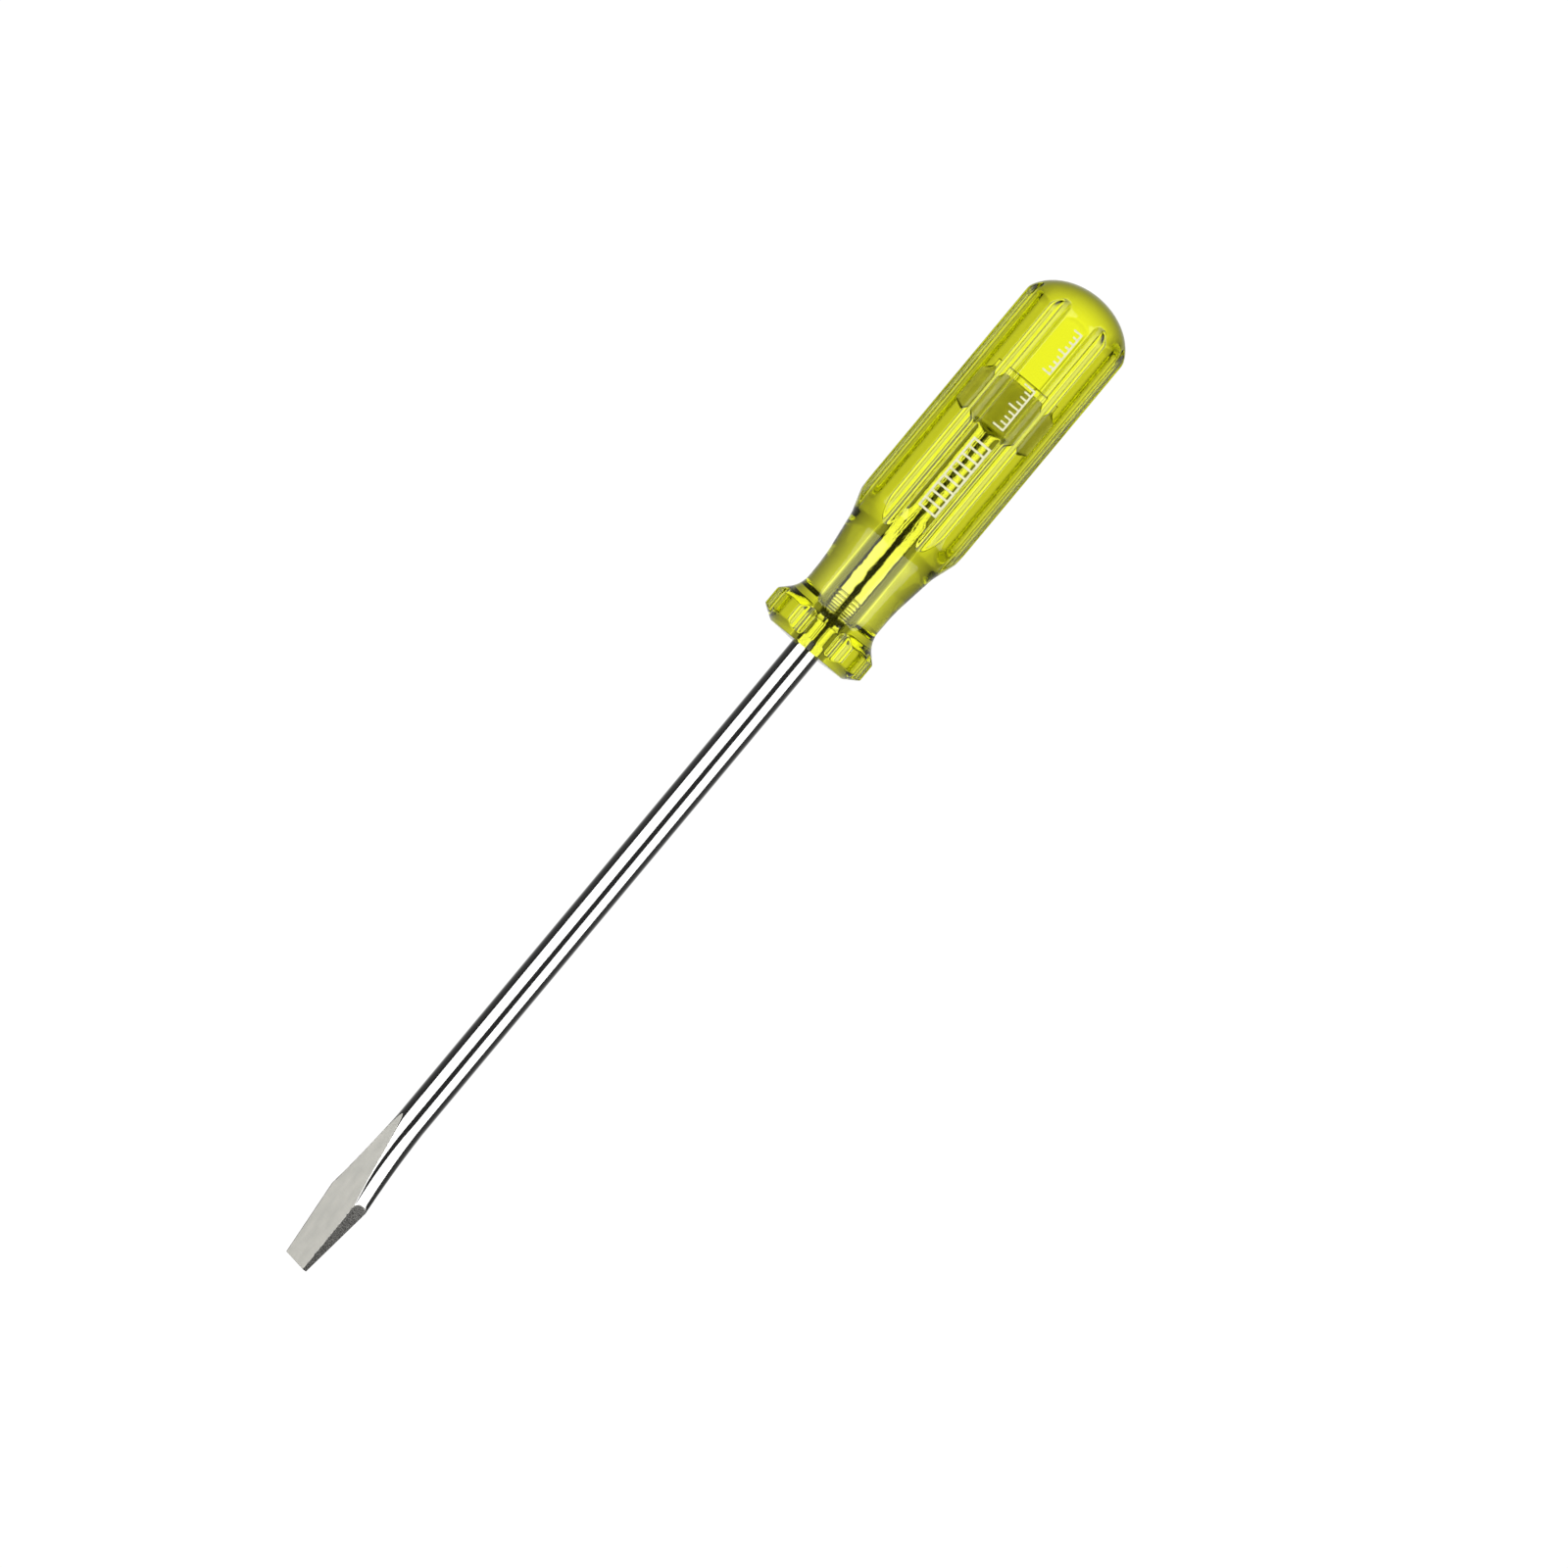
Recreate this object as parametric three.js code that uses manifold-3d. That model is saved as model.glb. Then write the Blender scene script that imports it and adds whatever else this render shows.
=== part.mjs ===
// A slotted screwdriver: a forged steel blade pressed into a fluted clear plastic handle.
// Millimetres, +Z up. The tool lies along X with its tip towards -X, resting on one land of its handle.
import * as THREE from "three";
import { mergeVertices } from "three/addons/utils/BufferGeometryUtils.js";
import Module from "manifold-3d";

// Blade
const BLADE_LENGTH = 200; // tip to the handle's front face
const BAR_DIAMETER = 8.2;
const TIP_WIDTH = 10;
const TIP_THICKNESS = 1.3;
const WEDGE_LENGTH = 46; // how far back the two ground flats run
const KEYSTONE_LENGTH = 21; // how far back the two ground edges run
const FLARE_WIDTH = 13.2; // width over the forged flare where the ground edges end
const FLARE_SWELL = 0.3; // how far the flare's round sides stand out past that width
const FLARE_LENGTH = 45; // the flare has died out this far from the tip
const FLARE_LIMIT = 1.3; // the flare stops widening at this share, in what the ground edges cut off
const BLADE_TURN = 53.5; // degrees that the flats are turned from the label land

// Tang, the blade's end inside the handle
const TANG_LENGTH = 85.8;
const RING_START = 10.4; // from the handle's front face
const RING_COUNT = 7;
const RING_PITCH = 1.18;
const RING_DEPTH = 0.35;
const EAR_SPAN = 17;
const EAR_END_SPAN = 12;
const EAR_THICKNESS = 4.2;
const EAR_LENGTH = 15;
const EAR_SLOPE = 2.6; // length of the slope from the bar up to the ears
const EAR_TURN = 0; // degrees that the ears are turned from the label land
const TANG_CLEARANCE = 0.2; // air between the tang and its bore, all round
const BORE_SPARE = 1.9; // empty bore beyond the tang's end

// Handle, with places along it counted from its front face
const HANDLE_LENGTH = 115.6;
const LAND_COUNT = 8;
const LAND_ACROSS = 31; // across two opposite lands
const LAND_WIDTH = 7.8;
const FLUTE_DEPTH = 1.7;
const TURNED_CLEARANCE = 0.2; // from a land's edges out to the turned shape, where it leaves them whole
const FACE_DROP = 3.9; // a drop is how far the turned shape lies below a land's face
const FACE_CROWN = 0.5;
const COLLAR_START = 3;
const COLLAR_END = 8.1;
const COLLAR_FILLET = 7.5; // radius that turns the collar's 45 degree back slope into the neck
const NECK_DROP = 4.2;
const NECK_BOW = 0.3; // how far the neck bows outward on its way to its end
const NECK_END_DROP = 2.2;
const NECK_END = 34.5;
const SHOULDER_DROP = 0.55;
const SHOULDER_START = 39.3;
const SHOULDER_END = 45.5;
const SHOULDER_BOW = 0.4; // how far the shoulder's curve is drawn out past a land's face
const DOME_LENGTH = 12.6;

// Foil marks, stamped into the label land in a row: a ladder badge, then two comb scales
const FOIL_THICKNESS = 0.1;
const FOIL_SINK = 0.1; // how far the foil's face lies below the land
const FOIL_CLEARANCE = 0.1;
const MARK_MARGIN = 0.4; // from either end of the land to the row
const MARK_GAP = 5.2; // between the marks in the row
const BADGE_SHARE = 0.46; // of the row's length without its gaps. The scales share the rest
const BADGE_PITCH = 2.38;
const BADGE_LINE = 0.6;
const BADGE_NEAR_MARGIN = 0.3; // from the land's -Y edge
const BADGE_FAR_MARGIN = 1.9; // from the land's +Y edge
const SCALE_PITCH = 1.55;
const SCALE_LINE = 0.5;
const SCALE_MARGIN = 1.1; // from the land's -Y edge
const SCALE_LONG_EVERY = 4; // one stroke in so many is a long one
const SCALE_SHORT_SHARE = 0.65; // a short stroke's share of a long one
const SIZE_SCALE_WIDTH = 3.5;
const GRADE_SCALE_WIDTH = 2.6;

// Facets
const BLADE_SIDES = 48;
const HANDLE_SIDES = 64;
const FLUTE_STEPS = 6;
const ARC_STEPS = 8;
const FORGED_STEP = 1.5; // spacing of the stations along a forged end
const OVERRUN = 1; // how far a cutting shape runs past what it cuts

const barRadius = BAR_DIAMETER / 2;
const overallLength = BLADE_LENGTH + HANDLE_LENGTH;
const tipX = -overallLength / 2;
const faceX = tipX + BLADE_LENGTH;
const bladeEnd = BLADE_LENGTH + TANG_LENGTH;
const landHeight = LAND_ACROSS / 2;
const axisZ = landHeight;
const landCorner = Math.hypot(landHeight, LAND_WIDTH / 2);
const turnedRadius = landCorner + TURNED_CLEARANCE;
const domeStart = HANDLE_LENGTH - DOME_LENGTH;
const landEnd = domeStart + DOME_LENGTH * Math.sqrt(1 - (landCorner / turnedRadius) ** 2);

const wasm = await Module();
wasm.setup();

function solid(geometry) {
  const bare = geometry.clone();
  bare.deleteAttribute("normal");
  bare.deleteAttribute("uv");
  const merged = mergeVertices(bare, 1e-4);
  const mesh = new wasm.Mesh({
    numProp: 3,
    vertProperties: merged.attributes.position.array,
    triVerts: new Uint32Array(merged.index.array),
  });
  return new wasm.Manifold(mesh);
}

function geometryOf(manifold) {
  const mesh = manifold.getMesh();
  const geometry = new THREE.BufferGeometry();
  geometry.setAttribute("position", new THREE.BufferAttribute(mesh.vertProperties, 3));
  geometry.setIndex(new THREE.BufferAttribute(mesh.triVerts, 1));
  geometry.computeVertexNormals();
  return geometry;
}

// Turns a lathe about Y into one about X, with the profile's height running along +X.
function alongX(geometry) {
  return geometry.rotateZ(-Math.PI / 2);
}

// An outline in (x, z) extruded by depth along Y, centred on y = 0.
function plate(shape, depth) {
  const geometry = new THREE.ExtrudeGeometry(shape, { depth, bevelEnabled: false });
  return geometry.translate(0, 0, -depth / 2).rotateX(Math.PI / 2);
}

function polygon(points) {
  return new THREE.Shape(points.map(([x, y]) => new THREE.Vector2(x, y)));
}

// ---- Blade: u runs from the tip, v across the flats' width, w through their thickness ----

function section(u, width, thickness = width, squareness = 2, turn = 0) {
  return { u, width, thickness, squareness, turn };
}

// A bar along X whose round sections are pressed into superellipses: squareness 2 is an ellipse.
// A section's turn is the angle from v to its width.
function pressedBar(sections) {
  const profile = sections.map(({ u }) => new THREE.Vector2(1, u));
  profile.unshift(new THREE.Vector2(0, sections[0].u));
  profile.push(new THREE.Vector2(0, sections.at(-1).u));
  const geometry = alongX(new THREE.LatheGeometry(profile, BLADE_SIDES));
  const position = geometry.attributes.position;
  const axis = new THREE.Vector2();
  for (let i = 0; i < position.count; i += 1) {
    const place = THREE.MathUtils.clamp((i % profile.length) - 1, 0, sections.length - 1);
    const { width, thickness, squareness, turn } = sections[place];
    const power = 2 / squareness;
    const point = new THREE.Vector2(position.getY(i), position.getZ(i)).rotateAround(axis, -turn);
    point.x = Math.sign(point.x) * Math.abs(point.x) ** power * width;
    point.y = Math.sign(point.y) * Math.abs(point.y) ** power * thickness;
    point.rotateAround(axis, turn);
    position.setY(i, point.x);
    position.setZ(i, point.y);
  }
  return solid(geometry);
}

// The forged end widens and squares up towards the tip. The ground faces then cut it to size.
function flareSections() {
  const count = Math.round(FLARE_LENGTH / FORGED_STEP);
  const swell = FLARE_WIDTH / 2 + FLARE_SWELL - barRadius;
  return Array.from({ length: count + 1 }, (_, i) => {
    const u = (FLARE_LENGTH * i) / count;
    const share = Math.min((FLARE_LENGTH - u) / (FLARE_LENGTH - KEYSTONE_LENGTH), FLARE_LIMIT);
    return section(u, barRadius + swell * share ** 2, barRadius, 2 + share);
  });
}

function ringSections() {
  const half = RING_PITCH / 2;
  const start = BLADE_LENGTH + RING_START;
  const grooves = Array.from({ length: RING_COUNT }, (_, i) => start + i * RING_PITCH);
  return [
    ...grooves.flatMap((u) => [section(u - half, barRadius), section(u, barRadius - RING_DEPTH)]),
    section(grooves.at(-1) + half, barRadius),
  ];
}

// The ears, grown sideways by an allowance.
function earSections(allowance) {
  const start = bladeEnd - EAR_LENGTH;
  const bar = barRadius + allowance;
  const span = EAR_SPAN / 2 + allowance;
  const thickness = EAR_THICKNESS / 2 + allowance;
  const turn = THREE.MathUtils.degToRad(BLADE_TURN - EAR_TURN);
  return [
    section(start, bar),
    section(start + EAR_SLOPE, span, thickness, 2, turn),
    section(bladeEnd - EAR_SLOPE, span, thickness, 2, turn),
    section(bladeEnd, EAR_END_SPAN / 2 + allowance, thickness, 2, turn),
  ];
}

function wedge() {
  const reach = BAR_DIAMETER * 4;
  const slope = (barRadius - TIP_THICKNESS / 2) / WEDGE_LENGTH;
  const far = TIP_THICKNESS / 2 + slope * (bladeEnd + reach);
  const end = bladeEnd + reach;
  const outline = polygon([
    [0, -TIP_THICKNESS / 2],
    [end, -far],
    [end, far],
    [0, TIP_THICKNESS / 2],
  ]);
  return solid(plate(outline, reach * 2));
}

function keystone() {
  const slope = (FLARE_WIDTH - TIP_WIDTH) / 2 / KEYSTONE_LENGTH;
  const end = bladeEnd * 2;
  const far = TIP_WIDTH / 2 + slope * end;
  const outline = polygon([
    [0, -TIP_WIDTH / 2],
    [end, -far],
    [end, far],
    [0, TIP_WIDTH / 2],
  ]);
  return solid(plate(outline, BAR_DIAMETER * 4).rotateX(Math.PI / 2));
}

function blade() {
  const bar = pressedBar([...flareSections(), ...ringSections(), ...earSections(0)]);
  return bar.intersect(wedge()).intersect(keystone());
}

// The room that the tang takes in the handle.
function bore() {
  const mouth = section(BLADE_LENGTH - BAR_DIAMETER, barRadius + TANG_CLEARANCE);
  const tang = earSections(TANG_CLEARANCE);
  const floor = { ...tang.at(-1), u: bladeEnd + BORE_SPARE };
  return pressedBar([mouth, ...tang, floor]);
}

// ---- Handle: u runs from its front face ----

function handleSection() {
  const pitch = (2 * Math.PI) / LAND_COUNT;
  const halfLand = Math.atan2(LAND_WIDTH / 2, landHeight);
  const halfFlute = landCorner * Math.sin(pitch / 2 - halfLand);
  const fluteRadius = (halfFlute ** 2 + FLUTE_DEPTH ** 2) / (2 * FLUTE_DEPTH);
  const fluteCentre = landCorner * Math.cos(pitch / 2 - halfLand) + fluteRadius - FLUTE_DEPTH;
  const halfSweep = Math.asin(Math.min(1, halfFlute / fluteRadius));
  const points = [];
  for (let land = 0; land < LAND_COUNT; land += 1) {
    const middle = land * pitch;
    points.push([
      landCorner * Math.cos(middle - halfLand),
      landCorner * Math.sin(middle - halfLand),
    ]);
    const bisector = middle + pitch / 2;
    const centre = [fluteCentre * Math.cos(bisector), fluteCentre * Math.sin(bisector)];
    for (let i = 0; i < FLUTE_STEPS; i += 1) {
      const angle = bisector + Math.PI + halfSweep - (2 * halfSweep * i) / FLUTE_STEPS;
      points.push([
        centre[0] + fluteRadius * Math.cos(angle),
        centre[1] + fluteRadius * Math.sin(angle),
      ]);
    }
  }
  return polygon(points);
}

function handleProfile() {
  const over = turnedRadius - landHeight;
  const face = landHeight - FACE_DROP;
  const neck = landHeight - NECK_DROP;
  const neckEnd = landHeight - NECK_END_DROP;
  const chamferSlope = FACE_DROP / (COLLAR_START - FACE_CROWN);
  const backFoot = neck + COLLAR_FILLET * (1 - Math.SQRT1_2);
  const filletStart = COLLAR_END + landHeight - backFoot;
  const filletCorner = filletStart + backFoot - neck;
  const neckStart = filletStart + COLLAR_FILLET * Math.SQRT1_2;
  const shoulderMiddle = (SHOULDER_START + SHOULDER_END) / 2;
  const path = new THREE.Path();
  path.moveTo(0, 0);
  path.quadraticCurveTo(face / 2, 0, face, FACE_CROWN);
  path.lineTo(turnedRadius, COLLAR_START + over / chamferSlope);
  path.lineTo(turnedRadius, COLLAR_END - over);
  path.lineTo(backFoot, filletStart);
  path.quadraticCurveTo(neck, filletCorner, neck, neckStart);
  path.quadraticCurveTo(neck + NECK_BOW, (neckStart + NECK_END) / 2, neckEnd, NECK_END);
  path.lineTo(landHeight - SHOULDER_DROP, SHOULDER_START);
  path.quadraticCurveTo(landHeight + SHOULDER_BOW, shoulderMiddle, turnedRadius, SHOULDER_END);
  path.lineTo(turnedRadius, domeStart);
  path.absellipse(0, domeStart, turnedRadius, DOME_LENGTH, 0, Math.PI / 2);
  return path.getPoints(ARC_STEPS);
}

function handle() {
  const section = new THREE.ExtrudeGeometry(handleSection(), {
    depth: HANDLE_LENGTH + 2 * OVERRUN,
    bevelEnabled: false,
  });
  const prism = solid(section.translate(0, 0, -OVERRUN).rotateY(Math.PI / 2));
  const turned = solid(alongX(new THREE.LatheGeometry(handleProfile(), HANDLE_SIDES)));
  return prism.intersect(turned).translate([faceX, 0, axisZ]);
}

// ---- Foil marks: plain bars, in (x, y) on the label land ----

const rowStart = faceX + SHOULDER_END + MARK_MARGIN;
const rowEnd = faceX + landEnd - MARK_MARGIN;
const markRoom = rowEnd - rowStart - 2 * MARK_GAP;
const badgeRoom = markRoom * BADGE_SHARE;
const scaleRoom = (markRoom - badgeRoom) / 2;
const nearEdge = -LAND_WIDTH / 2;

function grown(bars, grow) {
  return bars.map(([x0, x1, y0, y1]) => [x0 - grow, x1 + grow, y0 - grow, y1 + grow]);
}

function badge(grow) {
  const pitches = Math.floor((badgeRoom - BADGE_LINE) / BADGE_PITCH);
  const right = rowStart + pitches * BADGE_PITCH + BADGE_LINE;
  const near = nearEdge + BADGE_NEAR_MARGIN;
  const far = -nearEdge - BADGE_FAR_MARGIN;
  const bars = [
    [rowStart, right, near, near + BADGE_LINE],
    [rowStart, right, far - BADGE_LINE, far],
  ];
  for (let i = 0; i <= pitches; i += 1) {
    const x = rowStart + i * BADGE_PITCH;
    bars.push([x, x + BADGE_LINE, near, far]);
  }
  return grown(bars, grow);
}

function scale(left, width, grow) {
  const pitches = Math.floor((scaleRoom - SCALE_LINE) / SCALE_PITCH);
  const near = nearEdge + SCALE_MARGIN;
  const bars = [[left, left + pitches * SCALE_PITCH + SCALE_LINE, near, near + SCALE_LINE]];
  for (let i = 0; i <= pitches; i += 1) {
    const x = left + i * SCALE_PITCH;
    const share = i % SCALE_LONG_EVERY === 0 ? 1 : SCALE_SHORT_SHARE;
    bars.push([x, x + SCALE_LINE, near, near + width * share]);
  }
  return grown(bars, grow);
}

function stamped(bars, bottom, top) {
  const boxes = bars.map(([x0, x1, y0, y1]) => {
    const box = new THREE.BoxGeometry(x1 - x0, y1 - y0, top - bottom);
    return solid(box.translate((x0 + x1) / 2, (y0 + y1) / 2, (bottom + top) / 2));
  });
  return boxes.reduce((sum, next) => sum.add(next));
}

const marks = {
  foil_badge: (grow) => badge(grow),
  foil_size_scale: (grow) => scale(rowEnd - 2 * scaleRoom - MARK_GAP, SIZE_SCALE_WIDTH, grow),
  foil_grade_scale: (grow) => scale(rowEnd - scaleRoom, GRADE_SCALE_WIDTH, grow),
};
const foilTop = LAND_ACROSS - FOIL_SINK;

function foil(bars) {
  return stamped(bars(0), foilTop - FOIL_THICKNESS, foilTop);
}

function recess(bars) {
  return stamped(bars(FOIL_CLEARANCE), foilTop - FOIL_THICKNESS - FOIL_CLEARANCE, LAND_ACROSS + OVERRUN);
}

// ---- Assembly ----

const steel = new THREE.MeshStandardMaterial({ color: 0xd9dadb, roughness: 0.12, metalness: 1 });
const acetate = new THREE.MeshStandardMaterial({ color: 0xc9d321, roughness: 0.08, metalness: 0 });
const cream = new THREE.MeshStandardMaterial({ color: 0xf1efc4, roughness: 0.4, metalness: 0 });

// From the blade's own frame, tip at 0 and flats facing up, to its place in the handle.
function inHandle(manifold) {
  return manifold.rotate([-BLADE_TURN, 0, 0]).translate([tipX, 0, axisZ]);
}

function part(name, manifold, material) {
  const mesh = new THREE.Mesh(geometryOf(manifold), material);
  mesh.name = name;
  return mesh;
}

const screwdriver = new THREE.Group();
screwdriver.add(part("blade", inHandle(blade()), steel));
let handleBody = handle().subtract(inHandle(bore()));
for (const bars of Object.values(marks)) {
  handleBody = handleBody.subtract(recess(bars));
}
screwdriver.add(part("handle", handleBody, acetate));
for (const [name, bars] of Object.entries(marks)) {
  screwdriver.add(part(name, foil(bars), cream));
}

export default screwdriver;
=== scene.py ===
"""A slotted screwdriver with a clear, fluted handle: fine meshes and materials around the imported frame.

Lengths are in metres in the part's frame: the tip points to -X, +Z is up out of the land with the foil
marks, and the tool lies on the opposite land. Places along the blade count from its tip, and places along
the handle from its front face.
"""

import math

import bmesh
import bpy
import numpy as np
from mathutils import Matrix, Vector


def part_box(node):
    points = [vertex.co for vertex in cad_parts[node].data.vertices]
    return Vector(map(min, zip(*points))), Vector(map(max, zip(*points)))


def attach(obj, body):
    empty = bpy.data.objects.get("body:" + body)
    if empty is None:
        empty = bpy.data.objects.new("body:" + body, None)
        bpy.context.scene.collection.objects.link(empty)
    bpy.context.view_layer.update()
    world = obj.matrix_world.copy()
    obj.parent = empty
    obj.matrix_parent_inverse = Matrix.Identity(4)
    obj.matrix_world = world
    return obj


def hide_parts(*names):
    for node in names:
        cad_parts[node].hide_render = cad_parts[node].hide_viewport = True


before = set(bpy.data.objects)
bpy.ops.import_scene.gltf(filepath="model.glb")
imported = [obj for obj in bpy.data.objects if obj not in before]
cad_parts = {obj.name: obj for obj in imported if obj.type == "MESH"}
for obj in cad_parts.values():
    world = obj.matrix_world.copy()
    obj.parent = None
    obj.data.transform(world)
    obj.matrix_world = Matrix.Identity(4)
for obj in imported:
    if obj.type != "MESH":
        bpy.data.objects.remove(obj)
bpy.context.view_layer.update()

MM = 0.001
ROOT = "root"

# ---- Sizes, as the frame's pieces have them apart from TANG_GAP, LAND_APOTHEM and the turned outline ----

BLADE_LENGTH = 200 * MM
BAR_RADIUS = 4.1 * MM
TIP_WIDTH = 10 * MM
TIP_THICKNESS = 1.3 * MM
WEDGE_LENGTH = 46 * MM
KEYSTONE_LENGTH = 21 * MM
FLARE_WIDTH = 13.2 * MM
FLARE_SWELL = 0.3 * MM
FLARE_LENGTH = 45 * MM
FLARE_LIMIT = 1.3  # the flare stops widening at this share, in what the ground edges cut off
BLADE_TURN = math.radians(53.5)

TANG_LENGTH = 85.8 * MM
RING_START = 10.4 * MM
RING_COUNT = 7
RING_PITCH = 1.18 * MM
RING_DEPTH = 0.35 * MM
EAR_SPAN = 17 * MM
EAR_END_SPAN = 12 * MM
EAR_THICKNESS = 4.2 * MM
EAR_LENGTH = 15 * MM
EAR_SLOPE = 2.6 * MM
TANG_GAP = 0.05 * MM  # a thin gap all round that lets the handle and the tang be separate closed meshes
BORE_SPARE = 1.9 * MM  # empty bore beyond the tang's end

HANDLE_LENGTH = 115.6 * MM
LAND_COUNT = 8
LAND_APOTHEM = 15.47 * MM  # a little inside the frame's, so the foil's face is the highest
LAND_WIDTH = 7.8 * MM
FLUTE_DEPTH = 1.7 * MM
TURNED_RADIUS = 16.2 * MM  # just outside the lands' edges, so the barrel keeps them whole
DOME_LENGTH = 12.6 * MM
# The turned outline in millimetres: place along the handle, radius, and the radius of the rounding there.
TURNED_CORNERS = [
    (0.45, 11.7, 0.8),
    (3.4, 16.2, 0.7),
    (7.4, 16.2, 0.6),
    (12.3, 11.3, 7.5),
    (21.5, 11.4, 50),
    (34.3, 13.25, 10),
    (40.6, 15.35, 5),
    (46.5, 16.2, 15),
]

handle_low, handle_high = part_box("handle")
TIP_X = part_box("blade")[0][0]
FACE_X = TIP_X + BLADE_LENGTH
AXIS_Z = (handle_low[2] + handle_high[2]) / 2


def smooth_min(a, b, blend):
    """The lower of a and b, rounded where they cross."""
    return 0.5 * (a + b - np.sqrt((a - b) ** 2 + 4 * blend**2))


def new_object(name, data):
    made = bpy.data.objects.new(name, data)
    bpy.context.scene.collection.objects.link(made)
    return made


def turn_faces_outward(mesh, weld=None):
    """Turns every face outward, after joining the points that are closer together than weld."""
    work = bmesh.new()
    work.from_mesh(mesh)
    if weld:
        bmesh.ops.remove_doubles(work, verts=work.verts, dist=weld)
    bmesh.ops.recalc_face_normals(work, faces=work.faces)
    work.to_mesh(mesh)
    work.free()


def mesh_object(name, points, faces, material):
    mesh = bpy.data.meshes.new(name)
    mesh.from_pydata(points.tolist(), [], faces)
    turn_faces_outward(mesh)
    mesh.materials.append(material)
    mesh.shade_smooth()
    return new_object(name, mesh)


def ring_body(rings):
    """Points and faces of a closed body whose rings all have the same count, with a pole at each end."""
    rings = np.asarray(rings)
    count, sides, _ = rings.shape
    points = np.vstack([rings.reshape(-1, 3), rings[0].mean(axis=0), rings[-1].mean(axis=0)])
    first, last = count * sides, count * sides + 1
    faces = []
    for j in range(sides):
        k = (j + 1) % sides
        faces.append((first, k, j))
        faces.append((last, (count - 1) * sides + j, (count - 1) * sides + k))
        for i in range(count - 1):
            a = i * sides
            b = a + sides
            faces.append((a + j, a + k, b + k, b + j))
    return points, faces


def even_steps(curve, weight, count):
    """A number of points along a curve, spaced evenly by the weight of the steps between its own points."""
    total = np.concatenate([[0], np.cumsum(weight)])
    numbers = np.arange(len(curve))
    index = np.interp(np.linspace(0, total[-1], count), total, numbers)
    return np.array([np.interp(index, numbers, column) for column in curve.T]).T


# ---- Handle ----

SECTION_POINTS = 320
SECTION_SAMPLES = 16001
BEND_WEIGHT = 0.9 * MM  # a radian of bend draws as many points as this length of outline
LAND_EDGE = 1.25 * MM  # radius of the rounding along a land's sides
LABEL_LAND_EDGE = 0.3 * MM  # the land with the marks is taken to be pressed flat, with crisp edges
LABEL_LAND_ANGLE = math.pi / 2
RUNOUT_BLEND = 0.06 * MM  # how softly the lands and flutes run out into the turned shape

LAND_STEPS = 40
ROUNDING_STEPS = 24
FLUTE_STEPS = 60
TURNED_STATIONS = 250
TURNED_STEP = 0.1 * MM
PLAIN_START = 47.5 * MM  # from about here to the dome the turned outline is straight
PLAIN_WEIGHT = 0.05  # a straight length's share of the stations that a curved one gets
DOME_STEPS = 60
POLE_RADIUS = 0.02 * MM  # the dome's last ring, round its pole

BORE_RIM = 0.3 * MM  # from the front face to the wall's first ring
BORE_LEAD = 0.5 * MM  # from the first of the close rings to the ears
BORE_PLAIN_RINGS = 16
BORE_EAR_RINGS = 34
BORE_END_RINGS = 6


def section_outline(edge_radius):
    """(angle, radius) rows from a land's middle to a flute's: flat land, rounded edge, hollow flute."""
    bisector = math.pi / LAND_COUNT
    corner = math.hypot(LAND_APOTHEM, LAND_WIDTH / 2)
    half_flute = bisector - math.atan2(LAND_WIDTH / 2, LAND_APOTHEM)
    half_chord = corner * math.sin(half_flute)
    flute_radius = (half_chord**2 + FLUTE_DEPTH**2) / (2 * FLUTE_DEPTH)
    reach = corner * math.cos(half_flute) + flute_radius - FLUTE_DEPTH
    flute = reach * np.array([math.cos(bisector), math.sin(bisector)])
    drop = LAND_APOTHEM - edge_radius - flute[0]
    across = math.sqrt((flute_radius + edge_radius) ** 2 - drop**2)
    edge = np.array([LAND_APOTHEM - edge_radius, flute[1] - across])
    turn = math.atan2(flute[1] - edge[1], flute[0] - edge[0])
    land = [np.array([LAND_APOTHEM, y]) for y in np.linspace(0, edge[1], LAND_STEPS)[:-1]]
    rounding = [edge + edge_radius * direction(angle) for angle in np.linspace(0, turn, ROUNDING_STEPS)]
    sweep = np.linspace(turn, bisector, FLUTE_STEPS)[1:]
    hollow = [flute - flute_radius * direction(angle) for angle in sweep]
    x, y = np.array(land + rounding + hollow).T
    return np.stack([np.arctan2(y, x), np.hypot(x, y)], axis=1)


def direction(angle):
    return np.array([math.cos(angle), math.sin(angle)])


def section_radius(angle):
    """The extruded section's radius at an angle about the axis."""
    pitch = 2 * math.pi / LAND_COUNT
    from_land = np.abs((angle + pitch / 2) % pitch - pitch / 2)
    from_label = (angle - LABEL_LAND_ANGLE + math.pi) % (2 * math.pi) - math.pi
    on_label = np.abs(from_label) < pitch / 2
    plain, label = section_outline(LAND_EDGE), section_outline(LABEL_LAND_EDGE)
    return np.where(on_label, np.interp(from_land, *label.T), np.interp(from_land, *plain.T))


def section_angles():
    """Angles round the section, closest together where it bends."""
    fine = np.linspace(0, 2 * math.pi, SECTION_SAMPLES)
    radius = section_radius(fine)
    curve = np.stack([radius * np.cos(fine), radius * np.sin(fine)], axis=1)
    steps = np.diff(curve, axis=0)
    length = np.hypot(steps[:, 0], steps[:, 1])
    heading = np.unwrap(np.arctan2(steps[:, 1], steps[:, 0]))
    bend = np.abs(np.gradient(heading))
    weight = length + bend * BEND_WEIGHT
    return even_steps(fine[:, None], weight, SECTION_POINTS + 1)[:-1, 0]


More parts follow.
